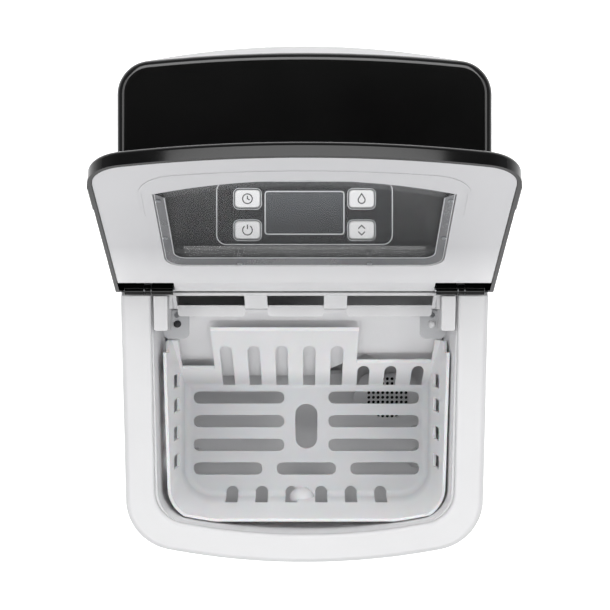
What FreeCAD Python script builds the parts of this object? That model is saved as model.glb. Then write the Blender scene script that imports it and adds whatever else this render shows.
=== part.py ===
import FreeCAD, Part
import math
import os
import re
import Sketcher
from FreeCAD import Placement, Rotation, Vector

# Countertop ice maker, in millimetres. Origin: middle of the footprint on the table.
# +Z up, -Y towards the user. The lid is modelled open, leaning back on its stop.

doc = FreeCAD.newDocument("IceMaker")
sheet = doc.addObject("Spreadsheet::Sheet", "sizes")

sizes = {
    # casing
    "bodyWidth": 242, "bodyDepth": 346.5, "frontRadius": 480, "rearRadius": 560, "bodyCorner": 35,
    "rearCorner": 24, "shellWall": 2.5, "footHeight": 12, "footRadius": 11, "panFloor": 2.5, "panLip": 20,
    "seamY": 138, "seamGap": 0.5, "shoulder": 300, "fit": 0.3, "skin": 0.1,
    "bowMargin": 5,
    # sloped deck and ice well
    "deckSlope": 13, "deckHeight": 309, "deckThickness": 6, "deckRound": 4, "sideBand": 20, "frontBand": 19.6,
    "wellRadius": 430, "wellCorner": 22, "wellRound": 2, "troughFront": 8.4, "troughFloor": 296,
    # rear cover and controls
    "coverTop": 328, "coverFront": 27, "coverBack": 165.3, "coverRadius": 1000, "coverWall": 2.5,
    "coverRound": 5,
    "bevelHeight": 10, "bevelDepth": 12.4, "panelWidth": 115.2, "panelDepth": 43, "panelY": 61.6,
    "panelRound": 7,
    "lensWidth": 49.2, "lensDepth": 26, "lensY": 61.6, "keyWidth": 16, "keyDepth": 11.3, "keyRound": 3,
    "keyX": 36.7, "keyRowNear": 50.4, "keyRowFar": 70.6, "keyProud": 1.2, "boardHeight": 312,
    # lid
    "lidWidth": 248, "lidLength": 187, "lidTail": 4, "lidDepth": 10, "lidWall": 2.5, "lidCorner": 26,
    "lidRound": 3.5, "lidLean": 22.7, "lidGap": 0.8, "hingeY": 12.3, "barrelRadius": 3.4, "pinRadius": 1.5,
    "pinPlay": 0.05, "barrelInner": 86, "barrelOuter": 117.5, "lugX": 102.5, "lugThick": 4, "gripLength": 27,
    "gripCentre": 127, "gripProud": 1.7, "linerWall": 2, "linerFoot": 10, "holeHalf": 88, "holeLow": 36.4,
    "holeTop": 156, "holeArch": 226, "holeCorner": 12, "paneHalf": 82.6, "paneLow": 47, "paneTop": 149,
    "paneFlange": 1.8, "paneSink": 1.2, "bossRadius": 2.2, "ribHalf": 96, "ribTop": 168, "ribLow": 110, "ribWide": 1.6, "ribProud": 0.4,
    # tub, basket
    "tubWall": 2.5, "tubFloor": 128, "tubBack": 72, "tubTaper": 4.5, "rampX": 33, "rampThick": 2.5,
    "rampKnee": -12,
    "rampTop": 262, "rampEdge": 186,
    "basketShift": 1.3, "basketWall": 2, "basketFloor": 170, "basketHalf": 91.5, "basketFront": 140.5,
    "basketBack": 55, "basketFlare": 6, "rampRun": 53, "frontRun": 10.8, "basketTall": 110, "rimDrop": 27,
    "basketCorner": 24, "basketGap": 1.2, "liftRoom": 22.4, "bumpRadius": 9.6, "slotWide": 9.1,
    "slotPitch": 17.45, "slotRow": 66, "slotNear": 16.2, "slotFar": 83.2,
    "backSlotWide": 8.9, "backSlotPitch": 19.65, "backSlotX": 55.6, "postRadius": 3,
    "strainerX": 63.2, "strainerY": 68.2, "strainerWide": 45, "strainerDeep": 36.5, "strainerThick": 3,
    "meshPitch": 3.55, "meshRadius": 1.2,
    # ice making
    "hoodHalf": 90, "hoodWall": 2, "hoodTop": 293, "sillHeight": 272, "sillY": -0.4, "fingerY": 30,
    "fingerRadius": 4, "fingerPitch": 19.5, "fingerLow": 252, "evaporatorZ": 284, "evaporatorRadius": 6,
    "trayHalf": 87, "trayFront": 14, "trayBack": 46, "trayLow": 240, "trayHigh": 262, "trayWall": 2,
    "shaftY": 49, "shaftRadius": 2.5, "shaftPlay": 0.08, "shovelReach": 18,
    # machine space
    "compressorX": -54, "compressorY": 119, "compressorRadius": 43, "compressorHeight": 118, "coilX": 52,
    "coilWide": 96, "coilHigh": 120, "coilY": 84, "coilDeep": 22, "coilLow": 32, "fanY": 124, "fanZ": 94,
    "fanRadius": 40, "fanHub": 13, "capY": -118, "capZ": 34, "capRadius": 12, "glandZ": 45, "glandX": -88,
    "glandRadius": 8,
}

for row, (name, number) in enumerate(sizes.items(), start=1):
    sheet.set("A%d" % row, name)
    sheet.set("B%d" % row, str(number))
    sheet.setAlias("B%d" % row, name)
doc.recompute()

parts = {}


def formula(text):
    """Point every size named in the text at its cell."""
    return re.sub(r"[A-Za-z]\w*", lambda word: "sizes." + word[0] if word[0] in sizes else word[0], str(text))


def bind(item, **rules):
    for prop, rule in rules.items():
        item.setExpression(prop, formula(rule))
    return item


def place(item, x="0", y="0", z="0"):
    for axis, rule in zip("xyz", (x, y, z)):
        item.setExpression("Placement.Base." + axis, formula(rule))
    return item


def turn(item, axis, angle):
    item.Placement = Placement(item.Placement.Base, Rotation(Vector(*axis), angle))
    return item


def part(item, label):
    """Keep a finished piece under the name of its file."""
    item.Label = label
    parts[label] = item
    return item


def block(name, x, y, z, wide, deep, high):
    """A box centred on x and y, standing on z."""
    item = bind(doc.addObject("Part::Box", name), Length=wide, Width=deep, Height=high)
    return place(item, f"({x}) - ({wide}) / 2", f"({y}) - ({deep}) / 2", z)


def span(name, xs, ys, zs):
    """A box between two values on each axis."""
    wide, deep, high = (f"({far}) - ({near})" for near, far in (xs, ys, zs))
    item = bind(doc.addObject("Part::Box", name), Length=wide, Width=deep, Height=high)
    return place(item, xs[0], ys[0], zs[0])


def rod(name, radius, length, x, y, z, axis="z"):
    item = bind(doc.addObject("Part::Cylinder", name), Radius=radius, Height=length)
    turns = {"x": ((0, 1, 0), 90), "y": ((1, 0, 0), -90), "z": ((0, 0, 1), 0)}
    return place(turn(item, *turns[axis]), x, y, z)


def group(name, items):
    item = doc.addObject("Part::Compound", name)
    item.Links = items
    return item


def cut(name, base, *tools):
    item = doc.addObject("Part::Cut", name)
    item.Base = base
    item.Tool = tools[0] if len(tools) == 1 else fuse(name + "Tools", *tools)
    return item


def fuse(name, *items):
    item = doc.addObject("Part::MultiFuse", name)
    item.Shapes = list(items)
    return item


def common(name, *items):
    item = doc.addObject("Part::MultiCommon", name)
    item.Shapes = list(items)
    return item


def size(name):
    return float(sheet.get(name))


def roundEdges(name, base, *rules):
    """Round the edges that each (radius, test) picks; a test reads an edge's middle, ends and direction."""
    doc.recompute()
    item = doc.addObject("Part::Fillet", name)
    item.Base = base
    chosen = []
    for number, edge in enumerate(base.Shape.Edges, start=1):
        for radius, test in rules:
            if test(edge):
                chosen.append((number, radius, radius))
                break
    item.Edges = chosen
    return item


def middle(edge):
    return edge.valueAt((edge.FirstParameter + edge.LastParameter) / 2)


def direction(edge):
    run = edge.Vertexes[-1].Point - edge.Vertexes[0].Point
    return run.normalize() if run.Length > 1e-6 else run


def upright(edge):
    return len(edge.Vertexes) == 2 and abs(direction(edge).z) > 0.9


def planeOf(body, role):
    return [feature for feature in body.Origin.OriginFeatures if feature.Role == role][0]


def sketchOn(body, role):
    sketch = body.newObject("Sketcher::SketchObject", body.Name + "Sketch")
    sketch.AttachmentSupport = [(planeOf(body, role), "")]
    sketch.MapMode = "FlatFace"
    return sketch


def outline(sketch, points):
    """A closed run of lines through points, each coordinate driven by its own rule."""
    count = len(points)
    ring = [Rotation(Vector(0, 0, 1), 360 * index / count).multVec(Vector(50, 0,
                                                                          0)) for index in range(count)]
    for index in range(count):
        sketch.addGeometry(Part.LineSegment(ring[index], ring[(index + 1) % count]), False)
    for index, point in enumerate(points):
        sketch.addConstraint(Sketcher.Constraint("Coincident", index, 2, (index + 1) % count, 1))
        for kind, rule, start in (("DistanceX", point[0], ring[index].x), ("DistanceY", point[1],
                                                                           ring[index].y)):
            number = sketch.addConstraint(Sketcher.Constraint(kind, -1, 1, index, 1, start or 1.0))
            label = "%s%d" % ("across" if kind == "DistanceX" else "along", index)
            sketch.renameConstraint(number, label)
            sketch.setExpression("Constraints." + label, formula(rule))


def padded(name, wide, deep, high, corner=None):
    """A rounded slab, centred on the origin."""
    body = doc.addObject("PartDesign::Body", name)
    sketch = sketchOn(body, "XY_Plane")
    left, right, near, far = f"-({wide}) / 2", f"({wide}) / 2", f"-({deep}) / 2", f"({deep}) / 2"
    outline(sketch, [(left, near), (right, near), (right, far), (left, far)])
    pad = body.newObject("PartDesign::Pad", name + "Pad")
    pad.Profile = sketch
    bind(pad, Length=high)
    body.Tip = pad
    if corner:
        doc.recompute()
        names = ["Edge%d" % number for number, edge in enumerate(pad.Shape.Edges, start=1) if upright(edge)]
        fillet = body.newObject("PartDesign::Fillet", name + "Round")
        fillet.Base = (pad, names)
        bind(fillet, Radius=corner)
        body.Tip = fillet
    return body


def profile(name, xs, points):
    """A side view in Y and Z, run from one X to another."""
    body = doc.addObject("PartDesign::Body", name)
    sketch = sketchOn(body, "YZ_Plane")
    outline(sketch, points)
    pad = body.newObject("PartDesign::Pad", name + "Pad")
    pad.Profile = sketch
    bind(pad, Length=f"({xs[1]}) - ({xs[0]})")
    body.Tip = pad
    return place(body, x=xs[0])


def turned(name, points, x="0", y="0", z="0"):
    """A half outline in radius and height, turned about Z."""
    body = doc.addObject("PartDesign::Body", name)
    sketch = sketchOn(body, "XZ_Plane")
    outline(sketch, points)
    spin = body.newObject("PartDesign::Revolution", name + "Spin")
    spin.Profile = sketch
    spin.ReferenceAxis = (sketch, ["V_Axis"])
    spin.Angle = 360
    body.Tip = spin
    return place(body, x, y, z)


def footprint(name, half, ys, zs, frontRadius=None, backRadius=None, nearCorner=None, farCorner=None):
    """A plan outline with bowed ends and rounded corners, run from one height to another."""
    # past a bowed end the box runs on, so that it never just grazes the bow
    near = f"({ys[0]}) - bowMargin" if frontRadius else ys[0]
    far = f"({ys[1]}) + bowMargin" if backRadius else ys[1]
    pieces = [span(name + "Box", (f"-({half})", half), (near, far), zs)]
    tall = f"({zs[1]}) - ({zs[0]})"
    if frontRadius:
        pieces.append(rod(name + "Bow", frontRadius, tall, "0", f"({ys[0]}) + {frontRadius}", zs[0]))
    if backRadius:
        pieces.append(rod(name + "BackBow", backRadius, tall, "0", f"({ys[1]}) - {backRadius}", zs[0]))
    solid = common(name + "Plan", *pieces) if len(pieces) > 1 else pieces[0]
    doc.recompute()
    centre = solid.Shape.BoundBox.Center.y
    rules = []
    if nearCorner:
        rules.append((nearCorner, lambda edge: upright(edge) and middle(edge).y < centre))
    if farCorner:
        rules.append((farCorner, lambda edge: upright(edge) and middle(edge).y > centre))
    return roundEdges(name, solid, *rules) if rules else solid


def slope(name, lift, thick, fromY, toY):
    """A slab that lies along the deck's slope, its underside lift above the deck."""
    item = bind(doc.addObject("Part::Box", name), Width=f"(({toY}) - ({fromY})) / cos(deckSlope * 1deg)")
    bind(item, Length="bodyWidth * 2", Height=thick)
    turn(item, (1, 0, 0), 10)
    item.setExpression("Placement.Rotation.Angle", formula("deckSlope"))
    return place(item, "-bodyWidth", fromY, f"{deckAt(fromY)} + ({lift})")


def deckAt(y):
    return f"(deckHeight - tan(deckSlope * 1deg) * (hingeY - ({y})))"


def hang(item):
    """Carry a lid piece, drawn flat with Y along the lid, to the open lid."""
    turn(item, (1, 0, 0), 60)
    item.setExpression("Placement.Rotation.Angle", formula("90 - lidLean"))
    return place(item, y="hingeY", z=hingeZ)


def tube(name, points, radius, bend):
    """A pipe along straight runs joined by round bends."""
    edges, last = [], points[0]
    for before, here, after in zip(points, points[1:], points[2:]):
        inward, outward = (before - here).normalize(), (after - here).normalize()
        half = inward.getAngle(outward) / 2
        enter, leave = here + inward * (bend / math.tan(half)), here + outward * (bend / math.tan(half))
        crown = here + (inward + outward).normalize() * (bend / math.sin(half) - bend)
        edges += [Part.LineSegment(last, enter).toShape(), Part.Arc(enter, crown, leave).toShape()]
        last = leave
    edges.append(Part.LineSegment(last, points[-1]).toShape())
    ring = Part.Wire(Part.makeCircle(radius, points[0], points[1] - points[0]))
    item = doc.addObject("Part::Feature", name)
    item.Shape = Part.Wire(edges).makePipeShell([ring], True, False)
    return item


# Rules that several pieces share.
halfBody = "bodyWidth / 2"
front, back = "-bodyDepth / 2", "bodyDepth / 2"
inside = "(bodyWidth / 2 - shellWall)"
hingeZ = "(deckHeight + lidGap)"
panTop = "(footHeight + panFloor)"
deckUnder = "-deckThickness / cos(deckSlope * 1deg)"
wellHalf = "(bodyWidth / 2 - sideBand)"
wellFront = "(frontBand - bodyDepth / 2)"
troughUnder = "(troughFloor - 2.5)"
rampTurn = 43  # degrees that the ramp's slanting edge climbs by


def casing():
    """Base pan, feet, the wrap round the front and sides, and the rear panel."""
    base = footprint("PanPlate", halfBody, (front, back), ("footHeight", panTop), "frontRadius", "rearRadius",
                     size("bodyCorner"), size("rearCorner"))
    gap = size("shellWall") + size("fit")
    ring = []
    for index, inset in enumerate(("shellWall + fit", "shellWall + fit + panFloor")):
        ring.append(footprint("PanLip%d" % index, f"{halfBody} - ({inset})", (f"{front} + {inset}",
                    f"{back} - ({inset})"), (panTop, f"{panTop} + panLip"), f"(frontRadius - ({inset}))",
                    f"(rearRadius - ({inset}))", size("bodyCorner") - gap, size("rearCorner") - gap))
    slots = [block("PanSlot%d" % index, "coilX - 18", f"fanY - 36 + {index * 12}", "footHeight - 1", "60",
                   "5",
                   "panFloor + 2") for index in range(5)]
    pan = fuse("PanWhole", base, cut("PanRing", *ring))
    capHole = rod("CapHole", "capRadius + 1.2", "30", f"{halfBody} - 15", "capY", "capZ", "x")
    part(cut("BasePan", pan, group("PanSlots", slots), capHole), "base_pan")

    feet = []
    for index, (sideways, along) in enumerate(((-1, -1), (1, -1), (-1, 1), (1, 1))):
        half = "footRadius"
        shape = [("0", "0"), (f"{half} - 2", "0"), (half, "2"), (f"{half} + 1.5", "footHeight"), ("0",
                                                                                                  "footHeight")]
        feet.append(turned("Foot%d" % index, shape, f"{sideways} * (bodyWidth / 2 - 30)",
                           f"{along} * (bodyDepth / 2 - 42)"))
    part(group("Feet", feet), "rubber_feet")

    wall = cut("Wall", footprint("WallOuter", halfBody, (front, back), (panTop, "deckHeight + 60"),
                                 "frontRadius",
               "rearRadius", size("bodyCorner"), size("rearCorner")),
               footprint("WallInner", inside, (f"{front} + shellWall", f"{back} - shellWall"),
                         (f"{panTop} - 5", "deckHeight + 61"), "(frontRadius - shellWall)",
                         "(rearRadius - shellWall)", size("bodyCorner") - size("shellWall"),
                         size("rearCorner") - size("shellWall")))
    wide = ("-bodyWidth", "bodyWidth")
    behind = span("WrapEnd", wide, ("seamY", "bodyDepth"), ("-10", "deckHeight + 300"))
    vents = []
    for sideways in (-1, 1):
        for index in range(7):
            vents.append(block("SideVent%d%d" % (sideways + 1, index), f"{sideways} * {halfBody}",
                               f"seamY - 22 - {index * 8}", "coilLow + 20", "20", "4", "72"))
    # the slope is cut only ahead of the trough, the shoulder only behind it
    ahead = common("WrapAhead", slope("WrapSlope", deckUnder, "200", f"{front} - 60", "troughFront + 40"),
                   span("WrapAheadBox", wide, (f"{front} - 50", "troughFront"), ("0", "deckHeight + 200")))
    rest = span("WrapBehind", wide, ("troughFront", "bodyDepth"), ("shoulder", "deckHeight + 200"))
    part(cut("Wrap", wall, behind, ahead, rest, group("SideVents", vents), capHole), "front_wrap")

    frontPart = span("PanelStart", wide, ("-bodyDepth", "seamY + seamGap"), ("-10", "deckHeight + 300"))
    over = span("PanelOver", wide, ("0", "bodyDepth"), ("shoulder", "deckHeight + 300"))
    ledge = cut("LedgeRing", footprint("LedgeOuter", f"{inside} + 0.5", ("seamY - 40",
                                                                         f"{back} - shellWall + 0.5"),
                ("shoulder - 2.5", "shoulder"), None, "(rearRadius - 2)", None, size("rearCorner") - 2),
                footprint("LedgeInner", f"{inside} - 10", ("seamY - 41", "coverBack - 10"),
                          ("shoulder - 4", "shoulder + 2"), None, "coverRadius", None, 14.0))
    louvres = [block("Louvre%d" % index, "coilX - 8", back, f"fanZ - 42 + {index * 10}", "84", "24", "4.5")
               for index in range(9)]
    glandHole = rod("GlandHole", "glandRadius", "40", "glandX", f"{back} - 30", "glandZ", "y")
    whole = fuse("PanelWhole", cut("PanelShell", wall, over), ledge)
    part(cut("RearPanel", whole, frontPart, group("Louvres", louvres), glandHole), "rear_panel")

    neck, grip = "glandRadius - 0.2", "glandRadius + 2"
    gland = [("glandRadius * 0.5", "0"), (neck, "0"), (neck, "5.4"), (grip, "5.4"), (grip, "7"), ("0", "7"),
             ("0", "5.6"), ("glandRadius * 0.5", "5.6")]
    bush = turn(turned("Gland", gland), (1, 0, 0), 90)
    part(place(bush, "glandX", f"{back} - glandX * glandX / (2 * rearRadius) + 1", "glandZ"), "cord_gland")


def deck():
    """The sloped frame round the ice well, and the trough that the lid turns in."""
    plate = common("DeckPlate", footprint("DeckPlan", halfBody, (front, "troughFront"), ("150",
                                                                                         "deckHeight + 20"),
                   "frontRadius", None, size("bodyCorner"), None),
                   slope("DeckSlab", deckUnder, "deckThickness", f"{front} - 40", "troughFront + 40"))

    def onTop(edge):
        spot = middle(edge)
        level = size("deckHeight") - math.tan(math.radians(size("deckSlope"))) * (size("hingeY") - spot.y)
        return abs(spot.z - level) < 0.05

    def outerTop(edge):
        return onTop(edge) and abs(middle(edge).y - size("troughFront")) > 1

    rounded = roundEdges("DeckRounded", plate, (size("deckRound"), outerTop))
    well = footprint("WellPlan", wellHalf, (wellFront, "troughFront + 30"), ("100", "deckHeight + 30"),
                     "wellRadius", None, size("wellCorner"), None)
    opened = roundEdges("DeckOpened", cut("DeckCut", rounded, well), (size("wellRound"),
                                                                      lambda edge: onTop(edge)
                        and abs(middle(edge).x) < size("bodyWidth") / 2 - size("sideBand") + 1
                        and middle(edge).y < size("troughFront") - 1))
    trough = (f"-({inside} - fit)", f"{inside} - fit")
    floor = span("TroughFloor", trough, ("troughFront", "coverFront - fit"), (troughUnder, "troughFloor"))
    lip = span("TroughLip", trough, ("troughFront", "troughFront + 2"), (troughUnder, "troughFloor + 6"))
    wellSide = f"({wellHalf} + tubWall + fit)"
    ears = [span("TroughEar%d" % index, xs, ("troughFront - 1", "troughFront + 2"), (troughUnder,
                                                                                     "troughFloor + 6"))
            for index, xs in enumerate(((trough[0], f"-{wellSide}"), (wellSide, trough[1])))]
    part(fuse("TopFrame", opened, floor, lip, *ears), "top_frame")


def rearCover():
    """The black cover over the works, with the control panel's recess."""
    low = "shoulder"
    outer = footprint("CoverPlan", halfBody, ("coverFront", "coverBack"), (low, "coverTop"), None,
                      "coverRadius",
                      None, size("rearCorner") - 2)
    bevel = profile("CoverBevel", ("-bodyWidth", "bodyWidth"), [
        ("coverFront - 1", "coverTop - bevelHeight"), ("coverFront", "coverTop - bevelHeight"),
        ("coverFront + bevelDepth", "coverTop"), ("coverFront + bevelDepth", "coverTop + 5"),
        ("coverFront - 1", "coverTop + 5")])
    shaped = cut("CoverShaped", outer, bevel)

    def rim(edge):
        spot = middle(edge)
        return abs(spot.z - size("coverTop")) < 0.01 and spot.y > size("coverFront") + size("bevelDepth") + 1

    solid = roundEdges("CoverRounded", shaped, (size("coverRound"), rim))
    hollow = footprint("CoverHollow", inside, ("coverFront + coverWall", "coverBack - coverWall"),
                       ("shoulder - 1", "coverTop - bevelHeight - 2"), None, "(coverRadius - coverWall)",
                       None,
                       size("rearCorner") - 2 - size("coverWall"))
    upper = footprint("CoverUpper", f"{inside} - 3", ("coverFront + bevelDepth + 0.5",
                                                      "coverBack - coverWall - 3"),
                      ("coverTop - bevelHeight - 3", "coverTop - coverWall"), None,
                      "(coverRadius - coverWall)",
                      None, size("rearCorner") - 7)
    recess = place(padded("PanelRecess", "panelWidth + 2 * skin", "panelDepth + 2 * skin", "5", "panelRound"),
                   y="panelY", z="coverTop - 1")
    window = block("PanelWindow", "0", "panelY", "coverTop - 20", "panelWidth - 12", "panelDepth - 6", "30")
    bosses = [rod("Boss%d" % index, "3", f"coverTop - coverWall - boardHeight - 1.5", f"{sideways} * 52",
                  f"panelY + {along * 19.6}", "boardHeight + 1.6")
              for index, (sideways, along) in enumerate(((-1, -1), (1, -1), (-1, 1), (1, 1)))]
    part(fuse("RearCover", cut("CoverShell", solid, hollow, upper, recess, window), *bosses), "rear_cover")

    overlay = place(padded("OverlayPlate", "panelWidth", "panelDepth", "1", "panelRound"), y="panelY",
                    z="coverTop - 1")
    holes = [place(padded("LensHole", "lensWidth + 0.4", "lensDepth + 0.4", "8", "1.5"), y="lensY",
                   z="coverTop - 4")]
    for index, (x, y) in enumerate(keySpots):
        holes.append(place(padded("KeyHole%d" % index, "keyWidth + 0.8", "keyDepth + 0.8", "8", "keyRound"),
                           x, y,
                           "coverTop - 4"))
    part(cut("Overlay", overlay, group("OverlayHoles", holes)), "control_overlay")
    part(place(padded("Lens", "lensWidth", "lensDepth", "1.8", "1.3"), y="lensY", z="coverTop - 1.9"),
         "display_lens")
    for index, (x, y) in enumerate(keySpots):
        cap = place(padded("KeyCap%d" % index, "keyWidth", "keyDepth", "keyProud + 2.4", "keyRound - 0.4"), x,
                    y,
                    "coverTop - 2.4")
        soft = roundEdges("KeySoft%d" % index, cap, (0.6, lambda edge: middle(edge).z > size("coverTop") + 0.5
                          and not upright(edge)))
        skirt = place(padded("KeySkirt%d" % index, "keyWidth + 2", "keyDepth + 2", "1.2", "keyRound"), x, y,
                      "coverTop - 2.6")
        stem = rod("KeyStem%d" % index, "2", "coverTop - boardHeight - 8.2", x, y, "boardHeight + 6")
        part(fuse("Key%d" % index, soft, skirt, stem), keyNames[index])
    board = block("Board", "0", "panelY", "boardHeight", "112", "45", "1.6")
    switches = [block("Switch%d" % index, x, y, "boardHeight + 1.6", "6", "6", "3.2")
                for index, (x, y) in enumerate(keySpots)]
    part(fuse("ControlBoard", board, *switches), "control_board")
    part(block("DisplayModule", "0", "lensY", "boardHeight + 1.6", "lensWidth - 4", "lensDepth + 3", "11"),
         "display_module")


keySpots = [("-keyX", "keyRowFar"), ("-keyX", "keyRowNear"), ("keyX", "keyRowFar"), ("keyX", "keyRowNear")]
keyNames = ["timer_button", "power_button", "clean_button", "select_button"]


def lid():
    """The lid's shell, liner, window and screws, each drawn flat and then hung open."""
    half = "lidWidth / 2"
    outer = footprint("LidPlan", half, ("-lidTail", "lidLength"), ("-lidDepth", "0"), None, "frontRadius",
                      None,
                      size("lidCorner"))
    solid = roundEdges("LidRounded", outer, (size("lidRound"), lambda edge: not upright(edge)
                       and abs(middle(edge).z + size("lidDepth")) < 0.01))
    hollow = footprint("LidHollow", f"{half} - lidWall", ("lidWall - lidTail", "lidLength - lidWall"),
                       ("lidWall - lidDepth", "5"), None, "(frontRadius - lidWall)", None,
                       size("lidCorner") - size("lidWall"))

    def arched(name, halfRule, low, top, depth, corner):
        """The window's outline: straight foot and sides, bowed head."""
        shape = common(name + "Arch", span(name + "Box", (f"-({halfRule})", halfRule), (low,
                                                                                        f"{top} + bowMargin"),
                                                                                        depth),
                       rod(name + "Bow", "holeArch", f"({depth[1]}) - ({depth[0]})", "0",
                           f"({top}) - holeArch",
                           depth[0]))
        doc.recompute()
        return roundEdges(name, shape, (corner,
                                        lambda edge: upright(edge) and middle(edge).y < size("holeLow") + 40))

    opening = arched("LidOpening", "paneHalf + fit", "paneLow - fit", "paneTop + fit", ("-lidDepth - 5", "0"),
                     9.0)
    lipRoom = span("LipRoom", ("-barrelInner + 0.3", "barrelInner - 0.3"), ("-lidTail - 1", "0"),
                   ("-lidDepth / 2", "5"))
    notches = [block("LugRoom%d" % side, f"{side} * lugX", "0", "-lidDepth - 5", "lugThick + 1.2", "16",
                     "lidDepth + 20") for side in (-1, 1)]
    barrels, bores, grips = [], [], []
    for side in (-1, 1):
        low = "barrelInner" if side > 0 else "-barrelOuter"
        barrels.append(rod("Barrel%d" % (side + 1), "barrelRadius", "barrelOuter - barrelInner", low, "0",
                           "0", "x"))
        bores.append(rod("Bore%d" % (side + 1), "pinRadius + pinPlay", "barrelOuter - barrelInner + 2",
                         f"{low} - 1", "0", "0", "x"))
        grip = block("Grip%d" % (side + 1), f"{side} * ({half} + gripProud / 2)", "gripCentre",
                     "-lidDepth + 2.5",
                     "gripProud", "gripLength", "5")
        grips.append(roundEdges("GripSoft%d" % (side + 1), grip, (size("gripProud") * 0.8, gripEdge)))
    shell = fuse("LidWhole", cut("LidShellCut", solid, hollow, opening, lipRoom), *barrels, *grips)
    part(hang(cut("LidShell", shell, *notches, *bores)), "lid_shell")

    edge = "lidWidth / 2 - lidWall - fit"
    sheetDepth = ("-linerWall - 0.5", "-0.5")
    plan = footprint("LinerPlan", edge, ("linerFoot", "lidLength - lidWall - fit"), sheetDepth, None,
                     "(frontRadius - lidWall)", None, size("lidCorner") - size("lidWall"))
    foot = profile("LinerFoot", ("-barrelInner + 0.9", "barrelInner - 0.9"), [
        ("linerFoot + 6", "-0.5"), ("-7", "-2"), ("-7", "-2 - linerWall"), ("linerFoot + 6",
                                                                            "-0.5 - linerWall")])
    hole = arched("LinerHole", "holeHalf", "holeLow", "holeTop", ("-lidDepth", "5"), size("holeCorner"))
    collar = arched("LinerCollar", "holeHalf + 1.5", "holeLow - 1.5", "holeTop + 1.5",
                    ("paneFlange + 0.2 - lidDepth + lidWall", "-1"), size("holeCorner") + 1)
    ribs = []
    for index, inset in enumerate((0, 1)):
        ribs.append(footprint("Rib%d" % index, f"ribHalf - ribWide * {inset}", ("0",
                                                                                f"ribTop - ribWide * {inset}"),
                              ("-1", "ribProud - 0.5"), None, "(lidLength * 2 + 100)", None,
                              24.0 - 1.6 * inset))
    ridge = cut("RibRing", *ribs)
    ridge = common("RibUpper", ridge, span("RibZone", ("-lidWidth", "lidWidth"), ("ribLow", "lidLength"),
                                           ("-5", "5")))
    part(hang(cut("Liner", fuse("LinerWhole", plan, foot, collar, ridge), hole)), "lid_liner")

    flange = arched("PaneFlange", "holeHalf - 0.4", "holeLow + 0.4", "holeTop - 0.4",
                    ("-paneSink - paneFlange", "-paneSink"), size("holeCorner") - 0.4)
    crown = arched("PaneCrown", "paneHalf", "paneLow", "paneTop", ("-lidDepth + 0.2", "-paneSink - 0.5"), 8.7)
    bowl = arched("PaneBowl", "paneHalf - 1.4", "paneLow + 1.4", "paneTop - 1.4",
                  ("lidWall - lidDepth + 0.7", "0"), 7.4)
    bosses, drills, screws = [], [], []
    for index, (x, u) in enumerate(windowScrews):
        bosses.append(rod("PaneBoss%d" % index, "bossRadius", "lidDepth - lidWall - skin - paneSink - 1", x, u,
                          "skin - lidDepth + lidWall"))
        drills.append(rod("Drill%d" % index, "0.95", "8", x, u, "-paneSink - 4"))
        screws.append(turned("WindowScrew%d" % index, [("0", "-3.8"), ("0.85", "-3.8"), ("0.85", "0"),
                      ("1.6", "0"), ("1.6", "0.6"), ("1", "1.1"), ("0", "1.1")], x, u, "-paneSink"))
    whole = fuse("WindowWhole", flange, crown, *bosses)
    part(hang(cut("Window", whole, bowl, group("Drills", drills))), "lid_window")
    part(hang(group("WindowScrews", screws)), "window_screws")

    pins, lugs = [], []
    for side in (-1, 1):
        low = "barrelInner - 1" if side > 0 else "-barrelOuter - 0.3"
        pins.append(rod("Pin%d" % (side + 1), "pinRadius", "barrelOuter - barrelInner + 1.3", low, "hingeY",
                        hingeZ,
                        "x"))
        knuckle = rod("Knuckle%d" % (side + 1), "barrelRadius - 0.2", "lugThick",
                      f"{side} * lugX - lugThick / 2",
                      "hingeY", hingeZ, "x")
        post = span("Post%d" % (side + 1), (f"{side} * lugX - lugThick / 2", f"{side} * lugX + lugThick / 2"),
                    ("troughFront + 2.2", "hingeY + barrelRadius - 0.2"), ("troughFloor", hingeZ))
        hole = rod("LugHole%d" % (side + 1), "pinRadius + pinPlay", "lugThick + 4",
                   f"{side} * lugX - lugThick / 2 - 2", "hingeY", hingeZ, "x")
        lugs.append(cut("Lug%d" % (side + 1), fuse("LugSolid%d" % (side + 1), knuckle, post), hole))
    part(group("HingePins", pins), "hinge_pins")
    part(group("HingeLugs", lugs), "hinge_lugs")


def gripEdge(edge):
    return abs(middle(edge).x) > size("lidWidth") / 2 + size("gripProud") - 0.01 and not upright(edge)


windowScrews = [("-85.3", "129"), ("85.3", "129"), ("-85.3", "78"), ("85.3", "78"), ("-41", "39.8"),
                ("41", "39.8")]


def tapered(name, low, high, zs):
    """A straight-sided hopper; low and high give half width, front and back."""
    item = doc.addObject("Part::Wedge", name)
    bind(item, Xmin=f"-({low[0]})", Xmax=low[0], X2min=f"-({high[0]})", X2max=high[0], Ymin=zs[0], Ymax=zs[1],
         Zmin=f"-({low[2]})", Zmax=f"-({low[1]})", Z2min=f"-({high[2]})", Z2max=f"-({high[1]})")
    return turn(item, (1, 0, 0), 90)


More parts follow.
